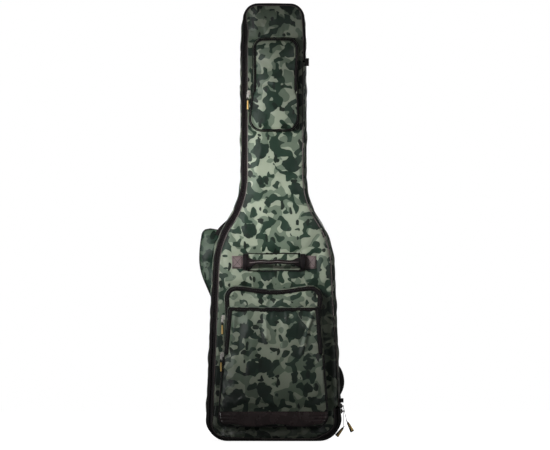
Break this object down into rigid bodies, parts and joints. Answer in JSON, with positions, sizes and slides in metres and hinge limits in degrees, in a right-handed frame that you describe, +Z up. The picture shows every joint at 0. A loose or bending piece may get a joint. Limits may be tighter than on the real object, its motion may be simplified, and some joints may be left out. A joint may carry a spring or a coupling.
{
  "type": "padded gig bag",
  "caption": "Upright padded gig bag for an electric bass: camouflage nylon shell, lid hinged on the right, zipped neck and body pockets, front carry handle, padded shoulder straps behind.",
  "frame": {"origin": "middle of the flat bottom face on which the bag stands, between its front and back edges of contact", "axes": "+Z up the bag towards the neck end, +X to the right seen from the front, -Y out of the front face"},
  "size_m": [0.4406, 0.1698, 1.24],
  "materials": {
    "camo_nylon": "printed satin nylon, camouflage, padded",
    "black_nylon": "woven black nylon webbing and zip tape",
    "piping": "cord piping in dark binding tape",
    "lining": "black brushed lining over foam",
    "trim_leatherette": "dark brown leatherette, soft gloss",
    "patch_leatherette": "pale grey-pink leatherette, box stitched",
    "steel": "nickel-plated wire and stampings",
    "slider_metal": "black-enamelled zinc zip slider",
    "tag_rubber": "moulded black rubber with a plain gold stripe",
    "buckle_plastic": "moulded black acetal"
  },
  "bodies": {
    "shell": {"back_panel": "camo_nylon", "side_gusset_left": "camo_nylon", "side_gusset_right": "camo_nylon", "top_gusset": "black_nylon", "bottom_gusset": "black_nylon", "back_piping": "piping", "back_lining": "lining", "shell_zip_tape": "black_nylon", "zip_end_tabs": "black_nylon", "hinge_side_border": "camo_nylon", "hinge_side_piping": "piping", "neck_rest_block": "lining", "end_bumper": "lining", "strap_rings": "steel", "ring_tabs": "black_nylon", "strap_web_upper_left": "black_nylon", "strap_web_upper_right": "black_nylon", "strap_pad_left": "camo_nylon", "strap_pad_right": "camo_nylon", "strap_buckles": "buckle_plastic", "strap_web_lower_left": "black_nylon", "strap_web_lower_right": "black_nylon", "strap_anchors": "black_nylon", "main_upper_slider": "slider_metal"},
    "lid": {"front_panel": "camo_nylon", "lid_lining": "lining", "lid_zip_tape": "black_nylon", "lid_piping": "piping", "handle_backing": "camo_nylon", "handle_patches": "patch_leatherette", "handle_collars": "trim_leatherette", "neck_pocket_gusset": "camo_nylon", "neck_pocket_zip_tape": "black_nylon", "neck_pocket_front": "camo_nylon", "large_pocket_gusset": "camo_nylon", "large_pocket_zip_tape": "black_nylon", "large_pocket_front": "camo_nylon", "front_pocket_gusset": "camo_nylon", "front_pocket_zip_tape": "black_nylon", "front_pocket_front": "camo_nylon", "trim_band": "trim_leatherette"},
    "neck_pocket_flap": {"neck_pocket_flap": "camo_nylon"},
    "large_pocket_flap": {"large_pocket_flap": "camo_nylon"},
    "front_pocket_flap": {"front_pocket_flap": "camo_nylon"},
    "handle_grip": {"handle_grip": "black_nylon"},
    "neck_strap": {"neck_strap": "black_nylon"},
    "neck_pocket_slider": {"neck_pocket_slider": "slider_metal"},
    "neck_pocket_puller": {"neck_pocket_puller": "steel"},
    "neck_pocket_tag": {"neck_pocket_tag": "tag_rubber"},
    "large_pocket_slider": {"large_pocket_slider": "slider_metal"},
    "large_pocket_puller": {"large_pocket_puller": "steel"},
    "large_pocket_tag": {"large_pocket_tag": "tag_rubber"},
    "front_pocket_slider": {"front_pocket_slider": "slider_metal"},
    "front_pocket_puller": {"front_pocket_puller": "steel"},
    "front_pocket_tag": {"front_pocket_tag": "tag_rubber"},
    "main_upper_puller": {"main_upper_puller": "steel"},
    "main_upper_tag": {"main_upper_tag": "tag_rubber"},
    "main_lower_slider": {"main_lower_slider": "slider_metal"},
    "main_lower_puller": {"main_lower_puller": "steel"},
    "main_lower_tag": {"main_lower_tag": "tag_rubber"}
  },
  "joints": [
    {"name": "lid_open", "type": "hinge", "parent": "shell", "child": "lid", "pos_m": [0.18, -0.047, 0.098], "axis": [-0.0957, 0, 0.9954], "range_deg": [0, 105]},
    {"name": "neck_pocket_open", "type": "hinge", "parent": "lid", "child": "neck_pocket_flap", "pos_m": [0, -0.072, 1], "axis": [1, 0, 0], "range_deg": [0, 110]},
    {"name": "large_pocket_open", "type": "hinge", "parent": "lid", "child": "large_pocket_flap", "pos_m": [0, -0.073, 0.385], "axis": [1, 0, 0], "range_deg": [0, 85]},
    {"name": "front_pocket_open", "type": "hinge", "parent": "lid", "child": "front_pocket_flap", "pos_m": [0, -0.093, 0.248], "axis": [1, 0, 0], "range_deg": [0, 110]},
    {"name": "handle_lift", "type": "hinge", "parent": "lid", "child": "handle_grip", "pos_m": [0, -0.06, 0.507], "axis": [1, 0, 0], "range_deg": [-35, 35]},
    {"name": "neck_strap_open", "type": "hinge", "parent": "shell", "child": "neck_strap", "pos_m": [0.04, 0.0012, 0.72], "axis": [0, 0, 1], "range_deg": [0, 24]},
    {"name": "neck_pocket_slider_travel", "type": "slide", "parent": "lid", "child": "neck_pocket_slider", "axis": [0, 0, 1], "range_m": [0, 0.11]},
    {"name": "large_pocket_slider_travel", "type": "slide", "parent": "lid", "child": "large_pocket_slider", "axis": [-0.0651, 0, 0.9979], "range_m": [0, 0.05]},
    {"name": "front_pocket_slider_travel", "type": "slide", "parent": "lid", "child": "front_pocket_slider", "axis": [0.0892, 0, 0.996], "range_m": [0, 0.1]},
    {"name": "main_lower_slider_travel", "type": "slide", "parent": "shell", "child": "main_lower_slider", "axis": [-0.0424, 0, 0.9991], "range_m": [-0.022, 0]},
    {"name": "neck_pocket_puller_lift", "type": "hinge", "parent": "neck_pocket_slider", "child": "neck_pocket_puller", "pos_m": [-0.07217, -0.07267, 0.985], "axis": [-0.7071, 0.7071, 0], "range_deg": [0, 120]},
    {"name": "neck_pocket_tag_swing", "type": "hinge", "parent": "neck_pocket_puller", "child": "neck_pocket_tag", "pos_m": [-0.07217, -0.07267, 0.97], "axis": [-0.7071, 0.7071, 0], "range_deg": [0, 70]},
    {"name": "large_pocket_puller_lift", "type": "hinge", "parent": "large_pocket_slider", "child": "large_pocket_puller", "pos_m": [-0.14417, -0.07417, 0.352], "axis": [-0.7071, 0.7071, 0], "range_deg": [0, 120]},
    {"name": "large_pocket_tag_swing", "type": "hinge", "parent": "large_pocket_puller", "child": "large_pocket_tag", "pos_m": [-0.14417, -0.07417, 0.337], "axis": [-0.7071, 0.7071, 0], "range_deg": [0, 70]},
    {"name": "front_pocket_puller_lift", "type": "hinge", "parent": "front_pocket_slider", "child": "front_pocket_puller", "pos_m": [-0.14717, -0.09617, 0.248], "axis": [-0.7071, 0.7071, 0], "range_deg": [0, 120]},
    {"name": "front_pocket_tag_swing", "type": "hinge", "parent": "front_pocket_puller", "child": "front_pocket_tag", "pos_m": [-0.14717, -0.09617, 0.233], "axis": [-0.7071, 0.7071, 0], "range_deg": [0, 70]},
    {"name": "main_upper_puller_lift", "type": "hinge", "parent": "shell", "child": "main_upper_puller", "pos_m": [0.1968, -0.04, 0.1], "axis": [0, -1, 0], "range_deg": [0, 95]},
    {"name": "main_upper_tag_swing", "type": "hinge", "parent": "main_upper_puller", "child": "main_upper_tag", "pos_m": [0.20744, -0.04, 0.05731], "axis": [0, -1, 0], "range_deg": [-25, 40]},
    {"name": "main_lower_puller_lift", "type": "hinge", "parent": "main_lower_slider", "child": "main_lower_puller", "pos_m": [0.1974, -0.04, 0.0855], "axis": [0, -1, 0], "range_deg": [0, 95]},
    {"name": "main_lower_tag_swing", "type": "hinge", "parent": "main_lower_puller", "child": "main_lower_tag", "pos_m": [0.19894, -0.04, 0.04153], "axis": [0, -1, 0], "range_deg": [0, 60]}
  ],
  "couplings": [
    {"joint": "main_upper_puller_lift", "follows": "main_lower_puller_lift", "ratio": 1}
  ]
}
